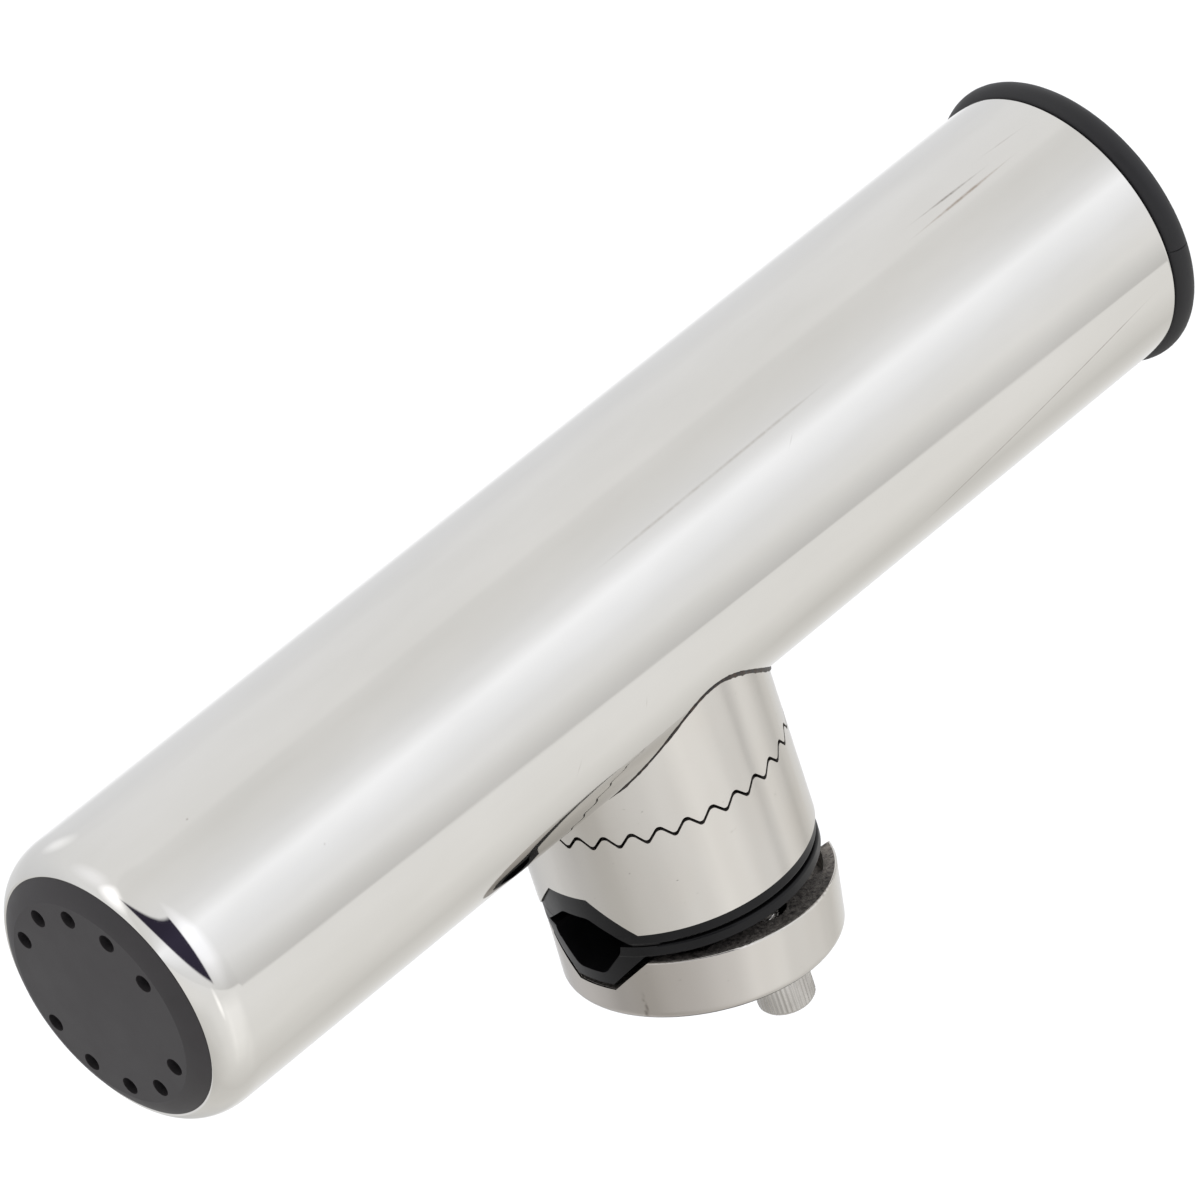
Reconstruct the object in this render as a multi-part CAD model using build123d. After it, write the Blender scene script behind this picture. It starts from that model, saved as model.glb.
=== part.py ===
from build123d import *
import os
from math import atan2, cos, degrees, pi, radians, sin, sqrt, tan

# Clamp-on rod holder for a boat rail. Millimetres, +Z up.
# The origin is the centre of the gripped rail. +X runs along the rail, towards the tube's open mouth,
# and +Z is the swivel axis, from the rail up to the tube.

# ---- driving dimensions ----

TUBE_RADIUS = 25.4            # 2 in tube
TUBE_WALL = 1.5
TUBE_AXIS_Z = 50.7            # height of the tube's axis above the rail's
TUBE_END_X = -110.0           # plane of the curled-in end
TUBE_MOUTH_X = 113.0
CURL_RADIUS = 8.0             # outside radius of the curl at the closed end
CAP_RADIUS = 22.2             # opening that the curl leaves for the end cap
CAP_RIM_RADIUS = 21.9

LIP_BEAD_RADIUS = 2.35        # round bead of the mouth liner
LINER_SLEEVE_LENGTH = 45.0
LINER_SLEEVE_WALL = 1.9
FIT_GAP = 0.05                # radial play of a pushed-in plastic part

CAP_DOME = 1.8                # how far the end cap stands out of the tube
CAP_WALL = 2.5
DRAIN_HOLE_RADIUS = 1.55
DRAIN_CIRCLE_RADIUS = 16.0
DRAIN_STEPS = 12              # two of the twelve places are taken by the rib

CLAMP_RADIUS = 23.4
TOOTH_COUNT = 32
TOOTH_VALLEY_Z = 19.56
TOOTH_HEIGHT = 1.85
TOOTH_GAP = 0.7              # air between the two crowns
CROWN_INNER_RADIUS = 15.0
CROWN_HUB_RELIEF = 0.1        # how far the hub inside the crown sits below the valleys

FLANGE_THICKNESS = 2.3        # rubber flange between the jaws
FLANGE_RADIUS = 23.05
FLANGE_EDGE_RADIUS = 0.5
FLANGE_GAP = 0.1              # half the gap between the two flanges
JAW_FACE_Z = FLANGE_GAP + FLANGE_THICKNESS
UPPER_POCKET_HALF_WIDTH = 11.3   # at the jaw's face
UPPER_ROOF_HALF_WIDTH = 4.3
UPPER_ROOF_Z = 9.2
LOWER_POCKET_HALF_WIDTH = 11.0
LOWER_FLOOR_HALF_WIDTH = 4.1
LOWER_FLOOR_Z = -8.25
UPPER_CHANNEL = [(11.25, -1.0), (2.85, 4.95)]              # half outline (y, z) inside the upper rubber
LOWER_CHANNEL = [(7.65, 1.0), (7.3, -1.3), (3.1, -5.9)]    # and inside the lower one
RUBBER_PLAY = 0.3             # between the lower rubber and its jaw
RUBBER_END_RADIUS = 23.0      # the channels stop just short of the jaws' sides
RUBBER_CORNER_RADIUS = 2.4    # inside the channels
LOWER_RUBBER_TILT = 1.0       # degrees, the lower rubber hangs open at the mouth side

LOWER_JAW_HEIGHT = 11.3
LOWER_JAW_TOP_RADIUS = 23.85
LOWER_JAW_BOTTOM_RADIUS = 23.25
LOWER_JAW_EDGE_RADIUS = 1.8
LOWER_JAW_RIM_RADIUS = 0.3
LOWER_JAW_DROP = 3.1         # the jaw hangs loose on its screws, this far below closed
LOWER_JAW_SHIFT = -0.3        # sideways, within the play of its screw holes
LOWER_JAW_TILT = 6.4          # degrees, mouth side down
RECESS_RADIUS = 21.6          # cast hollows in the lower jaw's face, beside the screws
RECESS_HALF_WIDTH = 16.8
RECESS_START_X = 9.0
RECESS_DEPTH = 5.0

SCREW_Y = 16.4                # the two clamp screws stand at plus and minus this
SCREW_RADIUS = 3.0            # M6
SCREW_HEAD_RADIUS = 4.85
SCREW_HEAD_HEIGHT = 5.9
SCREW_HEAD_TOP_Z = -17.45
SCREW_LENGTH = 35.0
SCREW_SOCKET = 5.0            # across flats
SCREW_SLACK_RADIUS = 3.95     # holes of the lower jaw
SCREW_THREAD_TOP_Z = 18.3     # bottom of the blind threaded holes

BOLT_RADIUS = 4.0             # M8
BOLT_HEAD_RADIUS = 6.5
BOLT_HEAD_HEIGHT = 5.0
BOLT_HEAD_Z = 9.3
BOLT_SOCKET = 5.0             # across flats
BOLT_RECESS_RADIUS = 7.0
WASHER_RADIUS = 6.35
WASHER_THICKNESS = 2.0
WASHER_SLIT = 1.0
THREAD_PLAY = 0.05            # radial play of a screw in its thread
SCREW_TIP_CHAMFER = 0.6
SCREW_HEAD_CHAMFER = 0.5

TUBE_BORE_RADIUS = TUBE_RADIUS - TUBE_WALL


# ---- helpers ----

def rod(radius, low, high, x=0.0, y=0.0):
    """Upright cylinder between two heights."""
    return Pos(x, y, (low + high) / 2) * Cylinder(radius, high - low)


def lathe_on_tube(profile):
    """Turns a face drawn in (along tube, radius) about the tube's axis."""
    solid = revolve(Plane.XZ * profile, Axis.X, 360)
    return Pos(0, 0, TUBE_AXIS_Z) * solid


def along_rail(points, length):
    """Prism along X from an outline of (y, z) points."""
    face = make_face(Polyline(*points, close=True))
    return Pos(-length / 2, 0, 0) * extrude(Plane.YZ * face, length)


def mirrored_outline(half):
    """Closes a half outline of (y, z) points by its mirror image in y."""
    return half + [(-y, z) for y, z in reversed(half)]


def save(shape, name, colour):
    """Writes one node, as a single solid or a group of them."""
    solids = shape.solids()
    node = solids[0] if len(solids) == 1 else Compound(children=list(solids))
    node.label = name
    node.color = Color(colour)
    export_step(node, "parts/" + name + ".step")
    print(name, len(solids), "solid(s)", round(sum(s.volume for s in solids)), "mm3",
          "valid" if all(s.is_valid for s in solids) else "NOT VALID")


# ---- tube ----

def holder_tube():
    """Round tube, curled in at the closed end, tapped below for the swivel bolt."""
    curl_x = TUBE_END_X + sqrt(CURL_RADIUS**2 - (CAP_RADIUS - TUBE_RADIUS + CURL_RADIUS)**2)
    curl_r = TUBE_RADIUS - CURL_RADIUS
    turn = atan2(CAP_RADIUS - curl_r, TUBE_END_X - curl_x)

    def on_curl(radius, angle):
        return (curl_x + radius * cos(angle), curl_r + radius * sin(angle))

    middle = (turn + pi / 2) / 2
    inner = CURL_RADIUS - TUBE_WALL
    outline = Curve() + [
        Line((TUBE_MOUTH_X, TUBE_BORE_RADIUS), (TUBE_MOUTH_X, TUBE_RADIUS)),
        Line((TUBE_MOUTH_X, TUBE_RADIUS), (curl_x, TUBE_RADIUS)),
        ThreePointArc((curl_x, TUBE_RADIUS), on_curl(CURL_RADIUS, middle), on_curl(CURL_RADIUS, turn)),
        Line(on_curl(CURL_RADIUS, turn), on_curl(inner, turn)),
        ThreePointArc(on_curl(inner, turn), on_curl(inner, middle), (curl_x, TUBE_BORE_RADIUS)),
        Line((curl_x, TUBE_BORE_RADIUS), (TUBE_MOUTH_X, TUBE_BORE_RADIUS)),
    ]
    tube = lathe_on_tube(make_face(outline))
    return tube - rod(BOLT_RADIUS + THREAD_PLAY, TUBE_AXIS_Z - TUBE_RADIUS - 2, TUBE_AXIS_Z)


def mouth_liner():
    """Plastic sleeve inside the open end, with a round bead over the tube's edge."""
    outside = TUBE_BORE_RADIUS - FIT_GAP
    inside = outside - LINER_SLEEVE_WALL
    bead_x = TUBE_MOUTH_X + LIP_BEAD_RADIUS + 0.1
    start = TUBE_MOUTH_X - LINER_SLEEVE_LENGTH
    corners = [(start, inside), (bead_x, inside), (bead_x, outside), (start, outside)]
    sleeve = make_face(Polyline(*corners, close=True))
    bead = Pos(bead_x, inside + LIP_BEAD_RADIUS) * Circle(LIP_BEAD_RADIUS)
    return lathe_on_tube(sleeve + bead)


def end_cap():
    """Domed drain plug snapped into the curled end, with a cross rib inside for the rod's gimbal."""
    face_x = TUBE_END_X - CAP_DOME
    edge = CAP_RIM_RADIUS
    shoulder = 3.5
    neck = 20.9
    neck_x = TUBE_END_X + 1.25
    skirt_x = TUBE_END_X + 8.0
    inner_x = face_x + CAP_WALL
    outline = Curve() + [
        ThreePointArc((face_x - 0.3, 0.0), (face_x - 0.23, (edge - shoulder) / 2), (face_x, edge - shoulder)),
        ThreePointArc((face_x, edge - shoulder), (face_x + 0.75, edge - 1.6), (TUBE_END_X + 0.1, edge)),
        Line((TUBE_END_X + 0.1, edge), (neck_x, neck)),
        Line((neck_x, neck), (neck_x + 1.2, neck)),
        Line((neck_x + 1.2, neck), (neck_x + 2.2, neck + 0.7)),
        Line((neck_x + 2.2, neck + 0.7), (skirt_x, neck - 0.4)),
        Line((skirt_x, neck - 0.4), (skirt_x, neck - 2.2)),
        Line((skirt_x, neck - 2.2), (inner_x, neck - 2.2)),
        Line((inner_x, neck - 2.2), (inner_x, 0.0)),
        Line((inner_x, 0.0), (face_x - 0.3, 0.0)),
    ]
    cap = lathe_on_tube(make_face(outline))
    rib_length = 8.0
    rib = Pos(inner_x + rib_length / 2 - 0.5, 0, TUBE_AXIS_Z) * Box(rib_length, 2 * neck - 4, 3.6)
    cap = cap + rib
    for step in range(DRAIN_STEPS):
        if step % (DRAIN_STEPS // 2) == 0:
            continue
        angle = 2 * pi * step / DRAIN_STEPS
        y = DRAIN_CIRCLE_RADIUS * cos(angle)
        z = TUBE_AXIS_Z + DRAIN_CIRCLE_RADIUS * sin(angle)
        cap = cap - Pos(face_x, y, z) * Rot(0, 90, 0) * Cylinder(DRAIN_HOLE_RADIUS, 12)
    return cap


# ---- the two crowns ----

def tooth_section(radius):
    """One tooth, valley to valley, as a face at this distance from the swivel axis."""
    half = radius * tan(pi / TOOTH_COUNT)
    grow = radius / CLAMP_RADIUS
    low, high = TOOTH_VALLEY_Z, TOOTH_VALLEY_Z + TOOTH_HEIGHT
    base = low - 2.0
    valley_y, valley_z = half - 0.42 * grow, low + 0.17
    peak_y, peak_z = 0.62 * grow, high - 0.27
    outline = Curve() + [
        Line((-half, base), (half, base)),
        Line((half, base), (half, low)),
        ThreePointArc((half, low), (half - 0.22 * grow, low + 0.045), (valley_y, valley_z)),
        Line((valley_y, valley_z), (peak_y, peak_z)),
        ThreePointArc((peak_y, peak_z), (0.0, high), (-peak_y, peak_z)),
        Line((-peak_y, peak_z), (-valley_y, valley_z)),
        ThreePointArc((-valley_y, valley_z), (0.22 * grow - half, low + 0.045), (-half, low)),
        Line((-half, low), (-half, base)),
    ]
    return Pos(radius, 0, 0) * (Plane.YZ * make_face(outline))


def crown():
    """Ring of radial teeth, standing on a thin base, wider than the clamp on both sides."""
    inner, outer = CROWN_INNER_RADIUS - 1.0, CLAMP_RADIUS + 0.6
    tooth = loft([tooth_section(inner), tooth_section(outer)], ruled=True)
    ring = Part() + [Rot(0, 0, 360.0 * (n + 0.5) / TOOTH_COUNT) * tooth for n in range(TOOTH_COUNT)]
    return ring


CROWN = crown()
HUB_Z = TOOTH_VALLEY_Z - CROWN_HUB_RELIEF


def crown_band(low, high):
    """Ring that the teeth keep to."""
    return rod(CLAMP_RADIUS, low, high) - rod(CROWN_INNER_RADIUS, low, high)


def saddle():
    """Block welded under the tube, with the upper crown on its face."""
    block = rod(CLAMP_RADIUS, TOOTH_VALLEY_Z - 0.5, TUBE_AXIS_Z)
    tube = Pos(0, 0, TUBE_AXIS_Z) * Rot(0, 90, 0) * Cylinder(TUBE_RADIUS, 4 * CLAMP_RADIUS)
    below = rod(CROWN_INNER_RADIUS, 0, TOOTH_VALLEY_Z + TOOTH_HEIGHT + TOOTH_GAP)
    teeth = Pos(0, 0, TOOTH_GAP) * CROWN
    block = block - tube - below - teeth
    return block - rod(BOLT_RADIUS + THREAD_PLAY, 0, TUBE_AXIS_Z)


# ---- upper jaw ----

def upper_pocket():
    """Outline of the upper half of the rail pocket, open below."""
    side = UPPER_POCKET_HALF_WIDTH - UPPER_ROOF_HALF_WIDTH
    spread = side / (UPPER_ROOF_Z - JAW_FACE_Z)
    below = 3.0
    return mirrored_outline([
        (UPPER_POCKET_HALF_WIDTH + spread * below, JAW_FACE_Z - below),
        (UPPER_ROOF_HALF_WIDTH, UPPER_ROOF_Z),
    ])


def upper_jaw():
    """Fixed jaw: crown above, half the rail pocket below, bolt recess and two threaded holes."""
    body = rod(CLAMP_RADIUS, JAW_FACE_Z, HUB_Z)
    body = body + (CROWN & crown_band(HUB_Z - 1.0, TUBE_AXIS_Z))
    body = body - along_rail(upper_pocket(), 4 * CLAMP_RADIUS)
    seat_z = BOLT_HEAD_Z + BOLT_HEAD_HEIGHT + WASHER_THICKNESS
    body = body - rod(BOLT_RECESS_RADIUS, 0, seat_z)
    body = body - rod(BOLT_RADIUS + 0.3, 0, TUBE_AXIS_Z)
    for side in (-1, 1):
        body = body - rod(SCREW_RADIUS + THREAD_PLAY, 0, SCREW_THREAD_TOP_Z, y=side * SCREW_Y)
    return body


def rubber(outer, inner, flange_low, flange_high):
    """Rubber insert: a channel along the rail with a round flange, and holes for both screws."""
    channel = along_rail(outer, 4 * CLAMP_RADIUS) & rod(RUBBER_END_RADIUS, -20, 20)
    flange = rod(FLANGE_RADIUS, flange_low, flange_high)
    flange = fillet(flange.edges().filter_by(GeomType.CIRCLE), FLANGE_EDGE_RADIUS)
    hollow = along_rail(inner, 4 * CLAMP_RADIUS)
    corners = hollow.edges().filter_by(Axis.X)
    inside = [edge for edge in corners if abs(edge.center().Z) > 1.1]
    hollow = fillet(inside, RUBBER_CORNER_RADIUS)
    piece = channel + flange - hollow
    for side in (-1, 1):
        piece = piece - rod(SCREW_RADIUS + 0.3, -20, 20, y=side * SCREW_Y)
    return piece


def rubber_outline(face_half, roof_half, roof_z, play, sign):
    """Outer (y, z) outline of a rubber channel; sign is 1 above the split and -1 below."""
    run = face_half - roof_half
    rise = roof_z - JAW_FACE_Z
    lean = run / rise
    top = roof_z - play
    side = face_half + lean * JAW_FACE_Z - play * sqrt(run**2 + rise**2) / rise
    return mirrored_outline([(side - lean * FLANGE_GAP, sign * FLANGE_GAP), (side - lean * top, sign * top)])


def upper_liner():
    outer = rubber_outline(UPPER_POCKET_HALF_WIDTH, UPPER_ROOF_HALF_WIDTH, UPPER_ROOF_Z, 0.0, 1)
    return rubber(outer, mirrored_outline(UPPER_CHANNEL), FLANGE_GAP, JAW_FACE_Z)


def lower_liner():
    outer = rubber_outline(LOWER_POCKET_HALF_WIDTH, LOWER_FLOOR_HALF_WIDTH, -LOWER_FLOOR_Z, RUBBER_PLAY, -1)
    piece = rubber(outer, mirrored_outline(LOWER_CHANNEL), FLANGE_GAP - JAW_FACE_Z, -FLANGE_GAP)
    hinge = Pos(-FLANGE_RADIUS, 0, -FLANGE_GAP)
    return hinge * Rot(0, LOWER_RUBBER_TILT, 0) * hinge.inverse() * piece


# ---- lower jaw and its screws ----

def lower_jaw():
    """Loose jaw, made closed and level, then dropped and tilted about the middle of its screw holes."""
    top, bottom = -JAW_FACE_Z, -JAW_FACE_Z - LOWER_JAW_HEIGHT
    corners = [(0, bottom), (LOWER_JAW_BOTTOM_RADIUS, bottom), (LOWER_JAW_TOP_RADIUS, top), (0, top)]
    body = revolve(Plane.XZ * make_face(Polyline(*corners, close=True)), Axis.Z, 360)
    rims = body.edges().filter_by(GeomType.CIRCLE).sort_by(Axis.Z)
    body = fillet(rims[0], LOWER_JAW_EDGE_RADIUS)
    rims = body.edges().filter_by(GeomType.CIRCLE).sort_by(Axis.Z)
    body = fillet(rims[-1], LOWER_JAW_RIM_RADIUS)
    side = LOWER_POCKET_HALF_WIDTH - LOWER_FLOOR_HALF_WIDTH
    spread = side / (top - LOWER_FLOOR_Z)
    pocket = mirrored_outline([
        (LOWER_FLOOR_HALF_WIDTH, LOWER_FLOOR_Z),
        (LOWER_POCKET_HALF_WIDTH + spread * 3.0, top + 3.0),
    ])
    body = body - along_rail(pocket, 4 * CLAMP_RADIUS)
    recess = rod(RECESS_RADIUS, top - RECESS_DEPTH, top + 1)
    recess = recess & Pos(0, 0, top) * Box(4 * CLAMP_RADIUS, 2 * RECESS_HALF_WIDTH, 4 * RECESS_DEPTH)
    recess = recess - Pos(0, 0, top) * Box(2 * RECESS_START_X, 4 * CLAMP_RADIUS, 4 * RECESS_DEPTH)
    body = body - recess
    for side in (-1, 1):
        body = body - rod(SCREW_SLACK_RADIUS, bottom - 1, top + 1, y=side * SCREW_Y)
    middle = (top + bottom) / 2
    hung = Pos(0, LOWER_JAW_SHIFT, middle - LOWER_JAW_DROP)
    return hung * Rot(0, LOWER_JAW_TILT, 0) * Pos(0, 0, -middle) * body


def socket_screw(radius, length, head_radius, head_height, across_flats, socket_depth, head_top):
    """Socket head screw standing head down: the head hangs below head_top, the shank rises above it."""
    shank = rod(radius, head_top - 0.1, head_top + length)
    tip = shank.edges().filter_by(GeomType.CIRCLE).sort_by(Axis.Z)[-1]
    shank = chamfer(tip, SCREW_TIP_CHAMFER)
    head = rod(head_radius, head_top - head_height, head_top)
    rim = head.edges().filter_by(GeomType.CIRCLE).sort_by(Axis.Z)[0]
    head = chamfer(rim, SCREW_HEAD_CHAMFER)
    hexagon = RegularPolygon(across_flats / 2, 6, major_radius=False)
    socket = Pos(0, 0, head_top - head_height) * extrude(hexagon, socket_depth)
    return shank + head - socket


def clamp_screw(side):
    screw = socket_screw(SCREW_RADIUS, SCREW_LENGTH, SCREW_HEAD_RADIUS, SCREW_HEAD_HEIGHT,
                         SCREW_SOCKET, 3.0, SCREW_HEAD_TOP_Z)
    return Pos(0, side * SCREW_Y, 0) * screw


def swivel_bolt():
    length = TUBE_AXIS_Z - TUBE_BORE_RADIUS - (BOLT_HEAD_Z + BOLT_HEAD_HEIGHT) - 0.1
    return socket_screw(BOLT_RADIUS, length, BOLT_HEAD_RADIUS, BOLT_HEAD_HEIGHT,
                        BOLT_SOCKET, 2.8, BOLT_HEAD_Z + BOLT_HEAD_HEIGHT)


def swivel_spring_washer():
    low = BOLT_HEAD_Z + BOLT_HEAD_HEIGHT + 0.02
    high = low + WASHER_THICKNESS - 0.04
    ring = rod(WASHER_RADIUS, low, high) - rod(BOLT_RADIUS + 0.1, low, high)
    slit = Pos(WASHER_RADIUS, 0, (low + high) / 2) * Rot(20, 0, 0) * Box(2 * WASHER_RADIUS, WASHER_SLIT, 6)
    return ring - slit


# ---- write every node ----

os.makedirs("parts", exist_ok=True)
STEEL = "lightgray"
BLACK = "dimgray"
save(holder_tube(), "holder_tube", STEEL)
save(saddle(), "saddle", "silver")
save(mouth_liner(), "mouth_liner", BLACK)
save(end_cap(), "end_cap", BLACK)
save(upper_jaw(), "upper_jaw", "silver")
save(upper_liner(), "upper_liner", BLACK)
save(lower_liner(), "lower_liner", BLACK)
save(lower_jaw(), "lower_jaw", "silver")
save(clamp_screw(-1), "clamp_screw_front", STEEL)
save(clamp_screw(1), "clamp_screw_rear", STEEL)
save(swivel_bolt(), "swivel_bolt", STEEL)
save(swivel_spring_washer(), "swivel_spring_washer", STEEL)
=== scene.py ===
import bpy
from math import atan2, ceil, cos, hypot, pi, radians, sin, sqrt
from mathutils import Matrix, Vector, noise


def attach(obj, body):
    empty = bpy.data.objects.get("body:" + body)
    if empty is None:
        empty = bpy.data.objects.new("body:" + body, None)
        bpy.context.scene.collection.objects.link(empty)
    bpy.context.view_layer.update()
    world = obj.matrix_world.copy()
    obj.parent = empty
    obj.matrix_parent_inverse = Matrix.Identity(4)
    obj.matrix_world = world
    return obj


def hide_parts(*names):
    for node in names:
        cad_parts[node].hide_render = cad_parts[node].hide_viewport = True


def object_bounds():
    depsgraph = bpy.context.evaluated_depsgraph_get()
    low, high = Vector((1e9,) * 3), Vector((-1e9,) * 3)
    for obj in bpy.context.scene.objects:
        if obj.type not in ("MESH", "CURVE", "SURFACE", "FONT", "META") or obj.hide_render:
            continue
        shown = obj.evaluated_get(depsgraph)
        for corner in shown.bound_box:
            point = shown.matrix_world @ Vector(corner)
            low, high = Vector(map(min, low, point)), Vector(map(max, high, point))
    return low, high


# Clamp-on rod holder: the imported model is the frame, and the pieces made here ride on its bodies.
# Metres, +Z up. The rail runs along X through the origin and the swivel turns about Z.

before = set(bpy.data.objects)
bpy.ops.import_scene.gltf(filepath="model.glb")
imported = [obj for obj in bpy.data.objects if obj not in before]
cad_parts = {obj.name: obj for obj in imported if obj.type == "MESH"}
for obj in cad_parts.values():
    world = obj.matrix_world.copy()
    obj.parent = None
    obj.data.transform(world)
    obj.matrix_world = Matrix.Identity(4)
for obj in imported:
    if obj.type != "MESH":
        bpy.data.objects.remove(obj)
cad_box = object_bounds()
MM = 0.001

# ---- the frame's sizes, in mm ----

TUBE_RADIUS = 25.4
TUBE_WALL = 1.5
TUBE_AXIS_Z = 50.7
TUBE_END_X = -110.0
TUBE_MOUTH_X = 113.0
CAP_OPENING = 22.2                    # radius where the curl ends, at the tube's end plane
LINER_RADIUS = 23.85
LINER_BORE = 21.95
LINER_START_X = 68.0
BEAD_RADIUS = 2.35
BEAD_X = 115.45
CLAMP_RADIUS = 23.4
SCREW_Y = 16.4
BOLT_HOLE_RADIUS = 4.05

# ---- camera, world and floor ----

CAMERA_AZIMUTH = radians(35.853)      # looking direction, from +Y towards +X
CAMERA_ELEVATION = radians(31.183)    # looking down
CAMERA_ROLL = radians(18.399)
CAMERA_DISTANCE = 1.49726
CAMERA_TARGET = Vector((1.05, -0.54, 50.99)) * MM
CAMERA_LENS = 283.63
SENSOR_WIDTH = 36.0
FLOOR_DEPTH = 0.35                    # the floor lies this far below the lowest point
FLOOR_SIZE = 14.0

# The studio's soft light, going round the tube: degrees from straight up, minus towards -Y, and brightness
STUDIO_BANDS = [
    (-180, 0.92), (-170, 1.02), (-150, 1.19), (-125, 1.24), (-95, 1.24), (-80, 1.27), (-65, 1.42),
    (-53, 1.56), (-42, 1.28), (-30, 1.17), (-5, 1.10), (4, 1.12), (8, 1.19), (55, 1.19), (75, 1.08),
    (100, 0.98), (115, 1.12), (135, 0.92), (150, 0.97), (165, 0.94), (180, 0.92),
]
RAMP_SCALE = 2.0                      # a ramp holds at most 1, so its values are halved and doubled again

# How warm that light is, as the share of blue it lacks (minus where it is cool)
STUDIO_WARMTH = [
    (-180, 0.044), (-149, 0.022), (-117, 0.005), (-101, 0.0), (-85, -0.03), (-69, -0.06), (-53, -0.064),
    (-37, -0.037), (-21, -0.01), (-5, 0.0), (27, -0.015), (59, -0.03), (80, -0.042), (107, -0.03), (135, 0.0),
    (163, 0.043), (180, 0.044),
]
GREEN_SHARE = 0.3

# The far edge of the studio table: a thin shade that slants across the tube
TABLE_EDGE_TURN = -104.0
TABLE_EDGE_SLANT = -177.0
TABLE_EDGE_START = 0.43
TABLE_EDGE_LEAN = -13.0               # how it goes on before that
TABLE_EDGE_FADE = 24.0
TABLE_EDGE_SHADE = 0.27
TABLE_EDGE_WEAK = 0.3                 # share of the shade that is left towards -X
TABLE_EDGE_WEAKER = 0.3               # x of the direction where it starts to weaken

# Soft spots: azimuth, elevation, half width, half height, softness, and what they do to the light
STUDIO_SPOTS = [
    (166, 43, 10, 15, 0.5, (1.7, 1.7, 1.72)),       # a small panel beside the dark side
    (138, 50, 20, 12, 0.6, (1.2, 1.2, 1.22)),
    (-84, 28, 15, 27, 0.4, (1.22, 1.22, 1.24)),
    (76, 20, 9, 7, 0.6, (1.3, 1.3, 1.3)),
    (-107, -16, 3, 9, 0.6, (1.4, 1.4, 1.4)),
]

# The dark side behind the camera: azimuth of its middle, its two level edges and its upright one
DARK_AZIMUTH = -135.0
DARK_BELOW = (18.7, -0.56)            # elevation at the middle and slope of the lower edge
DARK_ABOVE = (50.0, 0.06)
DARK_RIGHT = 36.0
DARK_COLOUR = (0.035, 0.03, 0.05)

# The light low down round the object, which the upright walls mirror: azimuth, brightness against the bands
LOW_LIGHT = [
    (-180, 0.91), (-160, 0.87), (-140, 0.91), (-126, 0.99), (-114, 1.03), (-106, 1.09), (-98, 1.2),
    (-91, 1.16), (-78, 1.14), (-66, 1.06), (-54, 1.1), (-42, 1.12), (-34, 1.18), (-26, 1.14),
    (-14, 1.07), (-4, 1.04), (6, 1.04), (16, 1.06), (34, 1.0), (60, 0.77), (84, 0.78), (104, 0.96),
    (120, 1.05), (136, 1.02), (150, 0.9), (165, 0.84), (180, 0.91),
]
LOW_LIGHT_TOP = -12.0                 # it fades in below this elevation, in degrees
LOW_LIGHT_FULL = -24.0
LOW_LIGHT_LAST = -48.0                # and out again from here
LOW_LIGHT_BOTTOM = -72.0
MIRRORED_SLICE = 0.5                  # the tube mirrors the directions near this x, which keep their bands
SLICE_HALF = 0.13
SLICE_END = 0.22


def add_camera():
    sa, ca = sin(CAMERA_AZIMUTH), cos(CAMERA_AZIMUTH)
    se, ce = sin(CAMERA_ELEVATION), cos(CAMERA_ELEVATION)
    forward = Vector((sa * ce, ca * ce, -se))
    level_right = Vector((ca, -sa, 0.0))
    level_up = level_right.cross(forward)
    sr, cr = sin(CAMERA_ROLL), cos(CAMERA_ROLL)
    right = level_right * cr - level_up * sr
    up = level_right * sr + level_up * cr
    data = bpy.data.cameras.new("camera")
    data.lens = CAMERA_LENS
    data.sensor_width = SENSOR_WIDTH
    data.clip_start = 0.05
    data.clip_end = 60.0
    camera = bpy.data.objects.new("camera", data)
    bpy.context.scene.collection.objects.link(camera)
    camera.matrix_world = Matrix.Translation(CAMERA_TARGET - forward * CAMERA_DISTANCE) @ Matrix((
        (right.x, up.x, -forward.x, 0.0),
        (right.y, up.y, -forward.y, 0.0),
        (right.z, up.z, -forward.z, 0.0),
        (0.0, 0.0, 0.0, 1.0),
    ))
    bpy.context.scene.camera = camera


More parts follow.
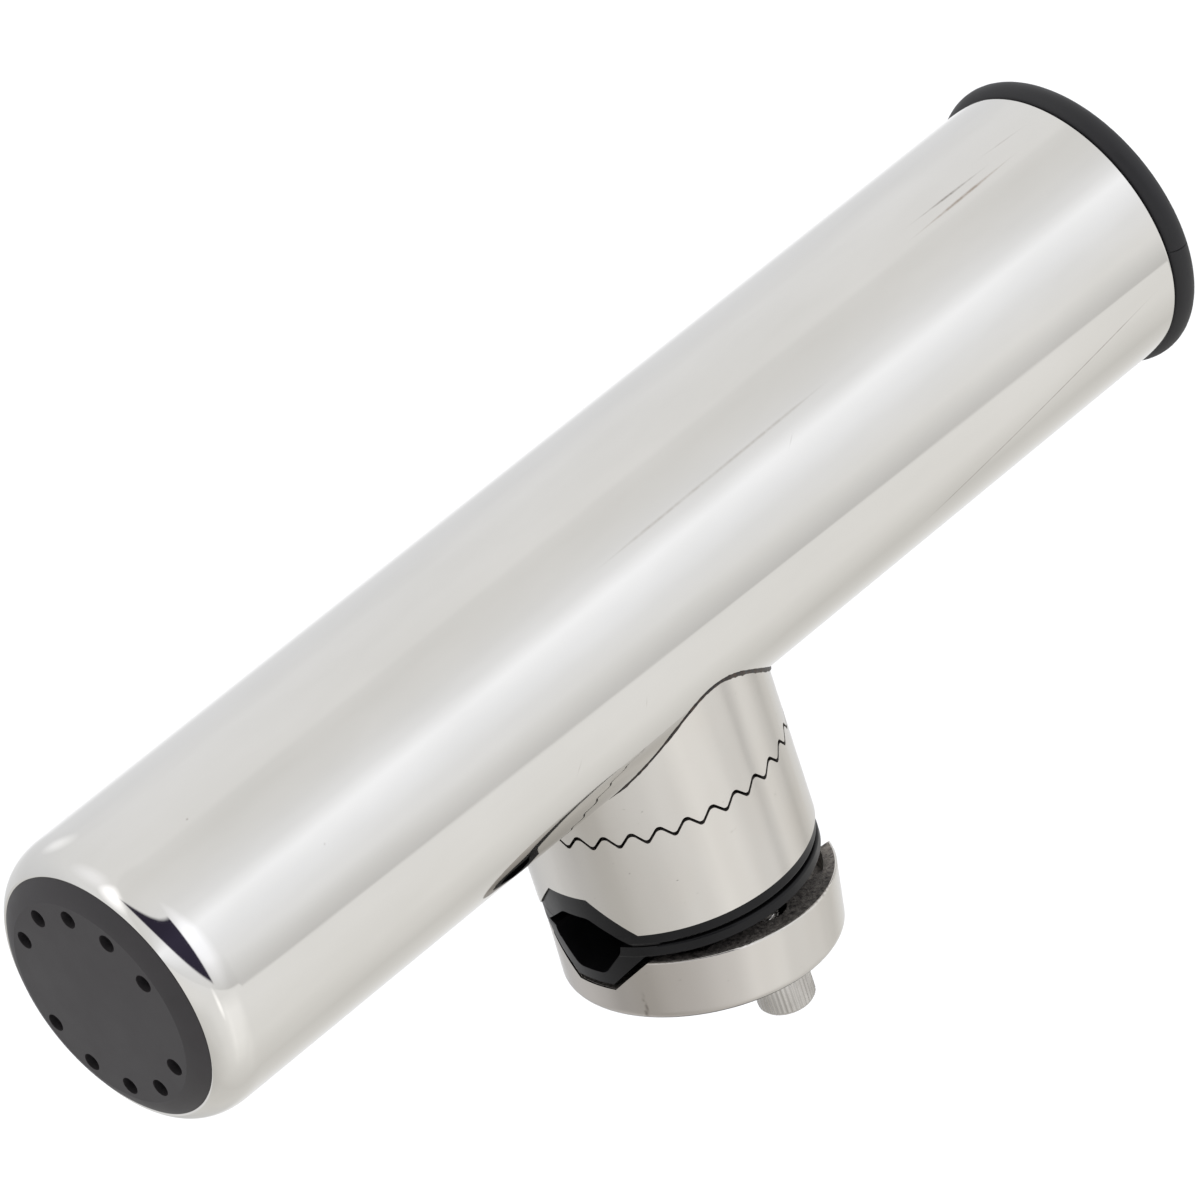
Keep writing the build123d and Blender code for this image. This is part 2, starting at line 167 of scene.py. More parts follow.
class Nodes:
    """Short way to add nodes to a tree: inputs are values or other nodes' outputs."""

    def __init__(self, tree):
        self.tree = tree

    def add(self, kind, inputs=None, **settings):
        node = self.tree.nodes.new(kind)
        for key, value in settings.items():
            setattr(node, key, value)
        for key, value in (inputs or {}).items():
            self.put(node.inputs[key], value)
        return node

    def put(self, socket, value):
        if isinstance(value, bpy.types.NodeSocket):
            self.tree.links.new(value, socket)
        else:
            socket.default_value = value

    def math(self, operation, first, second=0.0):
        return self.add("ShaderNodeMath", {0: first, 1: second}, operation=operation).outputs[0]

    def product(self, first, *others):
        for other in others:
            first = self.math("MULTIPLY", first, other)
        return first

    def blend(self, weight, first, second):
        """A number between two others."""
        return self.add("ShaderNodeMix", {0: weight, 2: first, 3: second}, data_type="FLOAT").outputs[0]

    def ramp(self, factor, stops):
        node = self.add("ShaderNodeValToRGB", {0: factor})
        elements = node.color_ramp.elements
        while len(elements) > 1:
            elements.remove(elements[-1])
        for n, (place, colour) in enumerate(stops):
            element = elements[0] if n == 0 else elements.new(place)
            element.position = place
            element.color = grey(colour)
        return node.outputs[0]

    def noise(self, vector, scale, detail=2.0, roughness=0.5):
        node = self.add("ShaderNodeTexNoise", {
            "Vector": vector, "Scale": scale, "Detail": detail, "Roughness": roughness})
        return node.outputs[0]

    def stretched(self, vector, scale):
        return self.add("ShaderNodeMapping", {"Vector": vector, "Scale": scale}).outputs[0]

    def mix(self, factor, first, second):
        node = self.add("ShaderNodeMix", data_type="RGBA")
        for socket, value in zip((node.inputs[0], node.inputs[6], node.inputs[7]), (factor, first, second)):
            self.put(socket, value)
        return node.outputs[2]

    def between(self, value, low, high, start=0.0, end=1.0):
        node = self.add("ShaderNodeMapRange", {0: value, 1: low, 2: high, 3: start, 4: end})
        return node.outputs[0]

    def place(self):
        """The point's own coordinates on its object."""
        return self.add("ShaderNodeTexCoord").outputs["Object"]

    def split(self, vector):
        return self.add("ShaderNodeSeparateXYZ", {0: vector}).outputs[:3]


def grey(colour):
    if isinstance(colour, (int, float)):
        return (colour, colour, colour, 1.0)
    return tuple(colour) + (1.0,) if len(colour) == 3 else tuple(colour)


class Sky:
    """The light from each direction, and the changes made to it. Angles are in degrees."""

    def __init__(self, nodes):
        self.nodes = nodes
        direction = nodes.add("ShaderNodeTexCoord").outputs["Generated"]
        self.x, y, z = nodes.add("ShaderNodeSeparateXYZ", {0: direction}).outputs
        self.turn = nodes.math("MULTIPLY", nodes.math("ARCTAN2", y, z), 180 / pi)
        self.azimuth = nodes.math("MULTIPLY", nodes.math("ARCTAN2", y, self.x), 180 / pi)
        self.elevation = nodes.math("MULTIPLY", nodes.math("ARCSINE", z), 180 / pi)
        self.light = self.all_round(self.turn, STUDIO_BANDS)

    def all_round(self, angle, stops):
        """A ramp over -180 to 180 degrees, whose values come out divided by RAMP_SCALE."""
        places = []
        for at, value in stops:
            places.append(((at + 180) / 360, tuple(part / RAMP_SCALE for part in grey(value)[:3])))
        return self.nodes.ramp(self.nodes.between(angle, -180.0, 180.0), places)

    def turned_from(self, middle):
        inputs = {0: self.nodes.math("SUBTRACT", self.azimuth, middle), 1: 180.0, 2: -180.0}
        return self.nodes.add("ShaderNodeMath", inputs, operation="WRAP").outputs[0]

    def tint(self, weight, colour):
        """Multiplies the light by a colour where the weight is 1."""
        node = self.nodes.add("ShaderNodeMix", data_type="RGBA", blend_type="MULTIPLY")
        node.clamp_result = False
        for socket, value in ((0, weight), (6, self.light), (7, grey(colour))):
            self.nodes.put(node.inputs[socket], value)
        self.light = node.outputs[2]

    def shade_table_edge(self):
        nodes = self.nodes
        along = nodes.math("SUBTRACT", self.x, TABLE_EDGE_START)
        slant = nodes.math("MULTIPLY", nodes.math("MAXIMUM", along, 0.0), TABLE_EDGE_SLANT)
        lean = nodes.math("MULTIPLY", nodes.math("MINIMUM", along, 0.0), TABLE_EDGE_LEAN)
        edge = nodes.math("ADD", nodes.math("ADD", slant, lean), TABLE_EDGE_TURN)
        past = nodes.math("SUBTRACT", self.turn, edge)
        rise = nodes.between(past, -0.5, 0.5)
        fall = nodes.between(past, 0.0, TABLE_EDGE_FADE, 1.0, 0.0)
        weaker = nodes.between(self.x, -TABLE_EDGE_WEAKER, TABLE_EDGE_WEAKER, TABLE_EDGE_WEAK, 1.0)
        shade = nodes.product(rise, fall, TABLE_EDGE_SHADE, weaker)
        self.light = nodes.mix(shade, self.light, grey(0.0))

    def change_low_light(self):
        nodes = self.nodes
        factor = nodes.math("MULTIPLY", self.all_round(self.azimuth, LOW_LIGHT), RAMP_SCALE)
        begins = nodes.between(self.elevation, LOW_LIGHT_TOP, LOW_LIGHT_FULL)
        ends = nodes.between(self.elevation, LOW_LIGHT_BOTTOM, LOW_LIGHT_LAST)
        beside = nodes.math("ABSOLUTE", nodes.math("SUBTRACT", self.x, MIRRORED_SLICE))
        weight = nodes.product(begins, ends, nodes.between(beside, SLICE_HALF, SLICE_END))
        change = nodes.blend(weight, 1.0, factor)
        brighter = nodes.add("ShaderNodeVectorMath", {0: self.light}, operation="SCALE")
        nodes.put(brighter.inputs["Scale"], change)
        self.light = brighter.outputs[0]

    def warm(self):
        """Divides the light by RAMP_SCALE once more, which add_world makes up for."""
        stops = [(angle, (1.0, 1.0 - GREEN_SHARE * warm, 1.0 - warm)) for angle, warm in STUDIO_WARMTH]
        tint = self.all_round(self.turn, stops)
        self.light = self.nodes.add(
            "ShaderNodeVectorMath", {0: self.light, 1: tint}, operation="MULTIPLY").outputs[0]

    def add_spots(self):
        nodes = self.nodes
        for azimuth, elevation, width, height, soft, effect in STUDIO_SPOTS:
            across = nodes.math("DIVIDE", self.turned_from(azimuth), width)
            level = nodes.math("DIVIDE", nodes.math("SUBTRACT", self.elevation, elevation), height)
            squares = nodes.math("ADD", nodes.product(across, across), nodes.product(level, level))
            reach = nodes.math("SQRT", squares)
            self.tint(nodes.between(reach, 1.0 - soft, 1.0 + soft, 1.0, 0.0), effect)

    def add_dark_side(self):
        nodes = self.nodes
        across = self.turned_from(DARK_AZIMUTH)
        low, high = [nodes.math("ADD", nodes.math("MULTIPLY", across, slope), middle)
                     for middle, slope in (DARK_BELOW, DARK_ABOVE)]
        over = nodes.between(nodes.math("SUBTRACT", self.elevation, low), -1.5, 2.0)
        under = nodes.between(nodes.math("SUBTRACT", high, self.elevation), -1.5, 2.0)
        left = nodes.between(nodes.math("SUBTRACT", DARK_RIGHT, across), -1.0, 1.5)
        self.tint(nodes.product(over, under, left), DARK_COLOUR)


def add_world():
    """Soft studio: bands of light about the tube, the table's edge, soft spots, and plain white behind."""
    world = bpy.data.worlds.new("studio")
    bpy.context.scene.world = world
    world.use_nodes = True
    world.node_tree.nodes.clear()
    nodes = Nodes(world.node_tree)
    sky = Sky(nodes)
    sky.shade_table_edge()
    sky.change_low_light()
    sky.warm()
    sky.add_spots()
    sky.add_dark_side()
    soft_light = nodes.add("ShaderNodeBackground", {"Color": sky.light, "Strength": RAMP_SCALE ** 2})
    white = nodes.add("ShaderNodeBackground", {"Color": grey(1.0), "Strength": 1.0})
    seen = nodes.add("ShaderNodeLightPath").outputs["Is Camera Ray"]
    both = nodes.add("ShaderNodeMixShader", {0: seen, 1: soft_light.outputs[0], 2: white.outputs[0]})
    nodes.add("ShaderNodeOutputWorld", {"Surface": both.outputs[0]})


def add_floor():
    z = cad_box[0][2] - FLOOR_DEPTH
    half = FLOOR_SIZE / 2
    mesh = bpy.data.meshes.new("floor")
    corners = [(-half, -half, z), (half, -half, z), (half, half, z), (-half, half, z)]
    mesh.from_pydata(corners, [], [(0, 1, 2, 3)])
    floor_plane = bpy.data.objects.new("floor", mesh)
    bpy.context.scene.collection.objects.link(floor_plane)
    material = bpy.data.materials.new("floor_paper")
    material.use_nodes = True
    nodes = Nodes(material.node_tree)
    shader = material.node_tree.nodes["Principled BSDF"]
    vector = nodes.place()
    tone = nodes.between(nodes.noise(vector, 3.0), 0.0, 1.0, 0.93, 0.97)
    nodes.put(shader.inputs["Base Color"], tone)
    shader.inputs["Roughness"].default_value = 0.9
    shader.inputs["Specular IOR Level"].default_value = 0.1
    mesh.materials.append(material)
    floor_plane.visible_glossy = False


bpy.context.scene.view_settings.view_transform = "Standard"
add_camera()
add_world()
add_floor()

# ---- materials ----


def finish_named(name, **sockets):
    """A material, its node helper and its shader; sockets are the shader's, with _ for a space."""
    material = bpy.data.materials.new(name)
    material.use_nodes = True
    shader = material.node_tree.nodes["Principled BSDF"]
    nodes = Nodes(material.node_tree)
    for key, value in sockets.items():
        nodes.put(shader.inputs[key.replace("_", " ")], value)
    return material, nodes, shader


def bump(nodes, shader, height, depth, strength=1.0):
    node = nodes.add("ShaderNodeBump", {"Height": height, "Distance": depth, "Strength": strength})
    nodes.put(shader.inputs["Normal"], node.outputs[0])


# Fine marks on the tube and one painted reflection: start and end (mm along, degrees round from the top),
# width, strength and colour
TUBE_MARKS_AND_PAINTED_REFLECTION = [
    ((-12.0, -44.5), (47.0, -43.5), 0.3, 0.35, (0.2, 0.17, 0.13)),
    ((76.0, -15.5), (99.0, -16.5), 0.28, 0.75, (0.1, 0.08, 0.06)),
    ((74.0, -21.0), (104.0, -20.0), 0.32, 0.7, (0.16, 0.1, 0.05)),
    ((95.0, -11.0), (110.0, -13.0), 0.2, 0.3, (0.25, 0.22, 0.2)),
    # painted reflection: a thin dark line that the tube mirrors, painted into its colour
    ((46.0, -120.0), (111.0, -97.0), 0.16, 0.6, (0.16, 0.14, 0.12)),
    ((-32.0, -104.0), (-29.0, -95.0), 0.1, 0.5, (0.3, 0.27, 0.24)),
    ((-15.0, -99.0), (-14.0, -92.0), 0.1, 0.4, (0.3, 0.27, 0.24)),
    ((30.0, -55.0), (34.0, -49.0), 0.1, 0.4, (0.3, 0.28, 0.26)),
    ((-92.0, -22.0), (-91.0, -21.0), 0.25, 0.6, (0.2, 0.18, 0.16)),
    ((-78.0, -60.0), (-77.5, -58.5), 0.15, 0.5, (0.25, 0.22, 0.2)),
]


LINE_TAPER = 12.0                     # each thin line thins out over this length at each end, or over less
LINE_TAPER_SHARE = 0.45

# The loose jaw: where its wall's own middle lies (m), its tilt, radius and flare, and its painted shade
# towards -X and its scratch
JAW_MIDDLE = (0.0, -0.0003, -0.01115)
JAW_TILT = radians(6.4)
JAW_RADIUS = 23.2
JAW_FLARE = 0.6 / 11.3
JAW_PAINTED_SHADE = 0.5
SCRATCH_TURN = radians(-158.0)
SCRATCH_STRENGTH = 0.65


def line_weight(nodes, x, turn, ragged, start, end, width, strength):
    """How strongly a thin line shows (the fine marks, and one painted reflection); places are (mm along,
    degrees round) and x and turn are in metres.
    """
    first, last = [Vector((at, radians(angle) * TUBE_RADIUS)) * MM for at, angle in (start, end)]
    run = last - first
    size = run.length
    run.normalize()
    dx, dy = nodes.math("SUBTRACT", x, first.x), nodes.math("SUBTRACT", turn, first.y)
    along = nodes.math("ADD", nodes.math("MULTIPLY", dx, run.x), nodes.math("MULTIPLY", dy, run.y))
    side = nodes.math("SUBTRACT", nodes.math("MULTIPLY", dy, run.x), nodes.math("MULTIPLY", dx, run.y))
    ends = nodes.math("MINIMUM", along, nodes.math("SUBTRACT", size, along))
    taper = nodes.between(ends, 0.0, min(size * LINE_TAPER_SHARE, LINE_TAPER * MM))
    wide = nodes.math("MULTIPLY", taper, width * MM)
    past = nodes.math("SUBTRACT", nodes.math("ABSOLUTE", side), wide)
    line = nodes.between(past, -width * MM, width * MM * 0.2, 1.0, 0.0)
    return nodes.product(line, nodes.between(ragged, 0.3, 0.6, 0.45, 1.0), taper, strength)


def polished_tube():
    """Mirror polish with faint streaks along the tube, a few soft rubbed patches, the fine marks and one
    painted reflection of a thin dark line.
    """
    material, nodes, shader = finish_named("polished_tube", Metallic=1.0)
    vector = nodes.place()
    streaks = nodes.noise(nodes.stretched(vector, (0.03, 1.0, 1.0)), 2500.0, 3.0, 0.6)
    clouds = nodes.noise(nodes.stretched(vector, (0.3, 1.0, 1.0)), 90.0, 3.0, 0.55)
    tone = nodes.between(clouds, 0.3, 0.7)
    colour = nodes.mix(tone, grey((0.548, 0.537, 0.514)), grey((0.58, 0.568, 0.546)))
    x, y, z = nodes.split(vector)
    height = nodes.math("SUBTRACT", z, TUBE_AXIS_Z * MM)
    turn = nodes.math("MULTIPLY", nodes.math("ARCTAN2", y, height), TUBE_RADIUS * MM)
    ragged = nodes.noise(vector, 700.0, 3.0, 0.7)
    # the fine marks, and one painted reflection of a thin dark line
    for start, end, width, strength, mark in TUBE_MARKS_AND_PAINTED_REFLECTION:
        weight = line_weight(nodes, x, turn, ragged, start, end, width, strength)
        colour = nodes.mix(weight, colour, grey(mark))
    nodes.put(shader.inputs["Base Color"], colour)
    rough = nodes.between(nodes.math("ADD", streaks, clouds), 0.7, 1.3, 0.03, 0.08)
    nodes.put(shader.inputs["Roughness"], rough)
    bump(nodes, shader, streaks, 0.000002, 0.3)
    return material


def jaw_scratch(nodes, own, angle, z):
    """A short ragged upright mark low on the jaw's wall."""
    wander = nodes.math("MULTIPLY", nodes.noise(own, 260.0), 0.06)
    turn = nodes.math("ADD", nodes.math("SUBTRACT", angle, SCRATCH_TURN), wander)
    line = nodes.between(nodes.math("ABSOLUTE", nodes.math("SUBTRACT", turn, 0.03)), 0.004, 0.02, 1.0, 0.0)
    low = nodes.between(z, 0.0005, -0.0025)
    return nodes.product(line, low, nodes.between(nodes.noise(own, 700.0, 3.0), 0.35, 0.6))


def brushed_colour(nodes, own, lines, clouds, x, z, angle, reach, shade_and_scratch):
    """Ground and brushed wall, with stains, pits and, towards -X, painted shade."""
    stains = nodes.between(nodes.noise(own, 45.0, 2.0, 0.5), 0.52, 0.7)
    pits = nodes.between(nodes.noise(nodes.stretched(own, (1.0, 1.0, 2.0)), 900.0, 2.0, 0.5), 0.74, 0.78)
    tone = nodes.between(nodes.math("ADD", nodes.math("MULTIPLY", lines, 0.35), clouds), 0.5, 0.85)
    colour = nodes.mix(tone, grey((0.48, 0.462, 0.434)), grey((0.518, 0.501, 0.474)))
    colour = nodes.mix(nodes.math("MULTIPLY", stains, 0.35), colour, grey((0.5, 0.468, 0.425)))
    colour = nodes.mix(nodes.math("MULTIPLY", pits, 0.6), colour, grey((0.2, 0.19, 0.17)))
    if not shade_and_scratch:
        return colour
    # painted shade: the wall's colour is darkened towards -X, as if that side were in shadow
    side_shade = nodes.between(nodes.math("DIVIDE", nodes.math("MULTIPLY", x, -1.0), reach), 0.15, 0.8)
    colour = nodes.mix(nodes.math("MULTIPLY", side_shade, shade_and_scratch), colour, grey((0.25, 0.222, 0.203)))
    scratch = nodes.math("MULTIPLY", jaw_scratch(nodes, own, angle, z), SCRATCH_STRENGTH)
    return nodes.mix(scratch, colour, grey((0.1, 0.082, 0.07)))


def cast_colour(nodes, sand, x):
    """As cast: dark, and paler where the open side lets light in."""
    colour = nodes.mix(nodes.between(sand, 0.35, 0.7), grey((0.03, 0.027, 0.025)), grey((0.24, 0.22, 0.2)))
    open_side = nodes.between(x, 0.011, 0.021)
    paler = nodes.math("MULTIPLY", open_side, nodes.between(sand, 0.3, 0.6))
    return nodes.mix(paler, colour, grey((0.42, 0.38, 0.34)))


def casting(name, centre=(0.0, 0.0, 0.0), tilt=0.0, radius=23.38, flare=0.0, shade_and_scratch=0.0):
    """Cast clamp: brushed round its axis outside, rough and dark as cast inside.
    Its outer wall starts at radius (mm) and widens by flare per mm of height about centre."""
    material, nodes, shader = finish_named(name, Metallic=1.0)
    moved = nodes.add("ShaderNodeVectorMath", {0: nodes.place(), 1: centre}, operation="SUBTRACT").outputs[0]
    turned = nodes.add("ShaderNodeVectorRotate", {"Vector": moved, "Angle": -tilt}, rotation_type="Y_AXIS")
    own = turned.outputs[0]
    x, y, z = nodes.split(own)
    angle = nodes.math("ARCTAN2", y, x)
    reach = nodes.math("SQRT", nodes.math("ADD", nodes.product(x, x), nodes.product(y, y)))
    wall = nodes.math("ADD", nodes.math("MULTIPLY", z, flare), radius * MM)
    outside = nodes.between(nodes.math("SUBTRACT", reach, wall), -0.00004, 0.0)

    around = nodes.add("ShaderNodeCombineXYZ", {0: nodes.math("MULTIPLY", angle, 0.0007), 1: 0.0, 2: z})
    lines = nodes.noise(around.outputs[0], 8000.0, 4.0, 0.65)
    clouds = nodes.noise(nodes.stretched(own, (1.0, 1.0, 0.3)), 90.0, 3.0, 0.5)
    sand = nodes.noise(own, 1500.0, 4.0, 0.7)
    brushed = brushed_colour(nodes, own, lines, clouds, x, z, angle, reach, shade_and_scratch)
    nodes.put(shader.inputs["Base Color"], nodes.mix(outside, cast_colour(nodes, sand, x), brushed))
    smooth = nodes.between(nodes.math("ADD", lines, clouds), 0.7, 1.3, 0.12, 0.2)
    nodes.put(shader.inputs["Roughness"], nodes.blend(outside, 0.6, smooth))
    grains, grooves = nodes.math("MULTIPLY", sand, 0.00025), nodes.math("MULTIPLY", lines, 0.000002)
    bump(nodes, shader, nodes.blend(outside, grains, grooves), 1.0, 1.0)
    around_axis = nodes.add("ShaderNodeTangent", direction_type="RADIAL", axis="Z")
    nodes.put(shader.inputs["Tangent"], around_axis.outputs[0])
    shader.inputs["Anisotropic"].default_value = 0.6
    shader.inputs["Anisotropic Rotation"].default_value = 0.25
    return material


def screw_steel():
    material, nodes, shader = finish_named("screw_steel", Metallic=1.0)
    vector = nodes.place()
    grain = nodes.noise(vector, 2600.0, 3.0, 0.6)
    clouds = nodes.noise(vector, 300.0, 2.0, 0.5)
    colour = nodes.mix(clouds, grey((0.34, 0.325, 0.305)), grey((0.47, 0.455, 0.435)))
    nodes.put(shader.inputs["Base Color"], colour)
    nodes.put(shader.inputs["Roughness"], nodes.between(grain, 0.3, 0.7, 0.2, 0.34))
    bump(nodes, shader, grain, 0.000006, 0.4)
    return material


def black_plastic(name, dark, light, specular):
    """Moulded plastic with a fine spark-eroded grain."""
    material, nodes, shader = finish_named(name, Specular_IOR_Level=specular)
    vector = nodes.place()
    grain = nodes.noise(vector, 3800.0, 3.0, 0.7)
    clouds = nodes.noise(vector, 120.0, 3.0, 0.6)
    colour = nodes.mix(nodes.between(clouds, 0.3, 0.7), grey(dark), grey(light))
    nodes.put(shader.inputs["Base Color"], colour)
    nodes.put(shader.inputs["Roughness"], nodes.between(clouds, 0.3, 0.7, 0.5, 0.62))
    bump(nodes, shader, grain, 0.00003, 0.5)
    return material


def black_rubber():
    """Soft black rubber, with a slight bloom and small mould marks."""
    material, nodes, shader = finish_named("black_rubber", Specular_IOR_Level=0.16)
    vector = nodes.place()
    grain = nodes.noise(vector, 2200.0, 3.0, 0.6)
    clouds = nodes.noise(vector, 150.0, 3.0, 0.6)
    tone = nodes.between(clouds, 0.3, 0.7)
    colour = nodes.mix(tone, grey((0.0035, 0.0034, 0.0038)), grey((0.007, 0.0068, 0.0075)))
    nodes.put(shader.inputs["Base Color"], colour)
    nodes.put(shader.inputs["Roughness"], nodes.between(clouds, 0.3, 0.7, 0.26, 0.4))
    bump(nodes, shader, grain, 0.00002, 0.4)
    return material


# painted shade: near-black and brown, standing in for the shade in the crevice at the seam
def seam_shade():
    material, nodes, shader = finish_named("seam_shade", Specular_IOR_Level=0.4)
    vector = nodes.place()
    grain = nodes.noise(vector, 1400.0, 3.0, 0.6)
    tone = nodes.between(grain, 0.45, 0.7)
    colour = nodes.mix(tone, grey((0.008, 0.006, 0.005)), grey((0.07, 0.045, 0.03)))
    nodes.put(shader.inputs["Base Color"], colour)
    nodes.put(shader.inputs["Roughness"], nodes.between(grain, 0.3, 0.7, 0.35, 0.65))
    bump(nodes, shader, grain, 0.00006, 0.6)
    return material


TUBE = polished_tube()
CASTING = casting("brushed_casting")
# the loose jaw's casting gets a painted shade towards -X, and a scratch
LOWER_CASTING = casting("brushed_jaw", JAW_MIDDLE, JAW_TILT, JAW_RADIUS, JAW_FLARE, JAW_PAINTED_SHADE)
STEEL = screw_steel()
PLASTIC = black_plastic("black_plastic", (0.0235, 0.021, 0.0222), (0.0325, 0.0293, 0.0308), 0.35)
PLASTIC_DARK = black_plastic("bead_plastic", (0.009, 0.0088, 0.0098), (0.014, 0.0135, 0.015), 0.35)
SEAM_SHADE = seam_shade()
RUBBER = black_rubber()


def finish_node(node, material):
    """Gives a carried-over CAD node its material."""
    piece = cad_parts[node]
    piece.data.materials.clear()
    piece.data.materials.append(material)


for node, material in (
    ("holder_tube", TUBE), ("saddle", CASTING), ("mouth_liner", PLASTIC_DARK), ("end_cap", PLASTIC),
    ("upper_jaw", CASTING), ("upper_liner", RUBBER), ("lower_liner", RUBBER), ("lower_jaw", LOWER_CASTING),
    ("clamp_screw_front", STEEL), ("clamp_screw_rear", STEEL), ("swivel_bolt", STEEL),
    ("swivel_spring_washer", STEEL),
):
    finish_node(node, material)

# ---- mesh helpers ----


def new_piece(name, body, material, verts, faces, replaces=(), angle=35.0):
    """A mesh piece in mm that rides on a body; faces that meet below the angle are shaded smooth."""
    mesh = bpy.data.meshes.new(name)
    mesh.from_pydata([tuple(c * MM for c in v) for v in verts], [], faces)
    mesh.validate()
    mesh.update()
    mesh.shade_smooth()
    mesh.set_sharp_from_angle(angle=radians(angle))
    mesh.materials.append(material)
    piece = bpy.data.objects.new(name, mesh)
    bpy.context.scene.collection.objects.link(piece)
    settle(piece, body, replaces)
    return piece


def settle(piece, body, replaces=()):
    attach(piece, body)
    for node in replaces:
        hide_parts(node)


def rings_to_mesh(rings, closed_loop=False, ends=True):
    """Joins rings of equal length, in order; open strings of rings get a fan over each end."""
    count = len(rings[0])
    verts = [point for ring in rings for point in ring]
    faces = []
    pairs = list(range(len(rings) - 1)) + ([len(rings) - 1] if closed_loop else [])
    for k in pairs:
        a, b = k * count, ((k + 1) % len(rings)) * count
        for n in range(count):
            m = (n + 1) % count
            faces.append((a + n, a + m, b + m, b + n))
    if ends and not closed_loop:
        for ring, turned in ((0, True), (len(rings) - 1, False)):
            middle = [sum(p[i] for p in rings[ring]) / count for i in range(3)]
            verts.append(tuple(middle))
            hub = len(verts) - 1
            base = ring * count
            for n in range(count):
                edge = (base + n, base + (n + 1) % count)
                faces.append((edge[1], edge[0], hub) if turned else (edge[0], edge[1], hub))
    return verts, faces


def about_tube(profile, angles, dent=None):
    """Rings about the tube's axis from a closed (x, radius) profile; dent changes a radius."""
    rings = []
    for x, radius in profile:
        ring = []
        for angle in angles:
            r = dent(angle, x, radius) if dent else radius
            ring.append((x, r * sin(angle), TUBE_AXIS_Z + r * cos(angle)))
        rings.append(ring)
    return rings_to_mesh(rings, closed_loop=True)


def even_angles(count):
    return [2 * pi * n / count for n in range(count)]


def corner_arc(x, radius, size, start, end, steps):
    """Points of a small arc about (x, radius), angles in degrees from +x towards outside."""
    points = []
    for n in range(steps + 1):
        angle = radians(start + (end - start) * n / steps)
        points.append((x + size * cos(angle), radius + size * sin(angle)))
    return points


# ---- tube ----

CURL_POWER = 2.3                      # above 2, so the shine flows into the curl without a line
CURL_DEPTH = 8.0
CURL_LENGTH = 8.8
CURL_STEPS = 40
LIP_EDGE = 0.35
TUBE_COLUMNS = 224


def curl_profile():
    """Outside of the closed end, from the straight tube to the lip, as (x, radius)."""
    floor_radius = TUBE_RADIUS - CURL_DEPTH
    reach = (1 - ((CAP_OPENING - floor_radius) / CURL_DEPTH) ** CURL_POWER) ** (1 / CURL_POWER)
    start = TUBE_END_X + reach * CURL_LENGTH
    last = atan2(reach ** (CURL_POWER / 2), ((CAP_OPENING - floor_radius) / CURL_DEPTH) ** (CURL_POWER / 2))
    points = []
    for n in range(CURL_STEPS + 1):
        angle = last * n / CURL_STEPS
        x = start - CURL_LENGTH * sin(angle) ** (2 / CURL_POWER)
        points.append((x, floor_radius + CURL_DEPTH * cos(angle) ** (2 / CURL_POWER)))
    return points


def inset(points, depth):
    """The same line, this deep below its surface (towards the axis and the inside)."""
    moved = []
    for n, (x, r) in enumerate(points):
        before, after = points[max(n - 1, 0)], points[min(n + 1, len(points) - 1)]
        dx, dr = after[0] - before[0], after[1] - before[1]
        size = hypot(dx, dr)
        moved.append((x - dr / size * depth, r + dx / size * depth))
    return moved


def add_tube():
    outside = curl_profile()
    inside = inset(outside, TUBE_WALL)
    soft_edge = 0.25
    profile = [(TUBE_MOUTH_X, TUBE_RADIUS - TUBE_WALL)]
    profile += corner_arc(TUBE_MOUTH_X - soft_edge, TUBE_RADIUS - soft_edge, soft_edge, 0, 90, 4)
    profile.append((TUBE_MOUTH_X - 2 * soft_edge, TUBE_RADIUS))    # keeps the shine straight up to the edge
    straight = 24
    start = outside[0][0]
    for n in range(1, straight):
        profile.append((TUBE_MOUTH_X + (start - TUBE_MOUTH_X) * n / straight, TUBE_RADIUS))
    profile += outside[:-1]
    (x0, r0), (x1, r1) = outside[-1], inside[-1]
    (xb, rb) = outside[-2]
    size = hypot(x0 - xb, r0 - rb)
    run = ((x0 - xb) / size, (r0 - rb) / size)
    for share in (0.0, 0.12, 0.3, 0.7, 0.88, 1.0):
        bulge = LIP_EDGE * (1 - (2 * share - 1) ** 4)
        profile.append((x0 + (x1 - x0) * share + run[0] * bulge, r0 + (r1 - r0) * share + run[1] * bulge))
    profile += list(reversed(inside[:-1]))
    for n in range(straight - 1, 0, -1):
        profile.append((TUBE_MOUTH_X + (start - TUBE_MOUTH_X) * n / straight, TUBE_RADIUS - TUBE_WALL))
    verts, faces = about_tube(profile, even_angles(TUBE_COLUMNS))
    tube = new_piece("tube_shell", "rod_tube", TUBE, verts, faces, ("holder_tube",))
    drill(tube, BOLT_HOLE_RADIUS, TUBE_AXIS_Z - TUBE_RADIUS - 2, TUBE_AXIS_Z - TUBE_RADIUS + 5)
    return tube


def drill(piece, radius, low, high):
    """Cuts an upright round hole through a piece, about the Z axis."""
    ring = [[(radius * cos(a), radius * sin(a), z) for a in even_angles(96)] for z in (low, high)]
    verts, faces = rings_to_mesh(ring)
    mesh = bpy.data.meshes.new("drill")
    mesh.from_pydata([tuple(c * MM for c in v) for v in verts], [], faces)
    cutter = bpy.data.objects.new("drill", mesh)
    bpy.context.scene.collection.objects.link(cutter)
    cut = piece.modifiers.new("drill", "BOOLEAN")
    cut.object = cutter
    cut.operation = "DIFFERENCE"
    cut.solver = "EXACT"
    bpy.context.view_layer.update()
    done = bpy.data.meshes.new_from_object(piece.evaluated_get(bpy.context.evaluated_depsgraph_get()))
    piece.modifiers.clear()
    piece.data = done
    done.set_sharp_from_angle(angle=radians(35))
    bpy.data.objects.remove(cutter)


add_tube()

# ---- mouth liner ----

MOULD_TICK = radians(-87.5)           # where the bead's mould closed
TICK_HALF = radians(0.22)
TICK_DEPTH = 0.16
BEAD_STEPS = 28


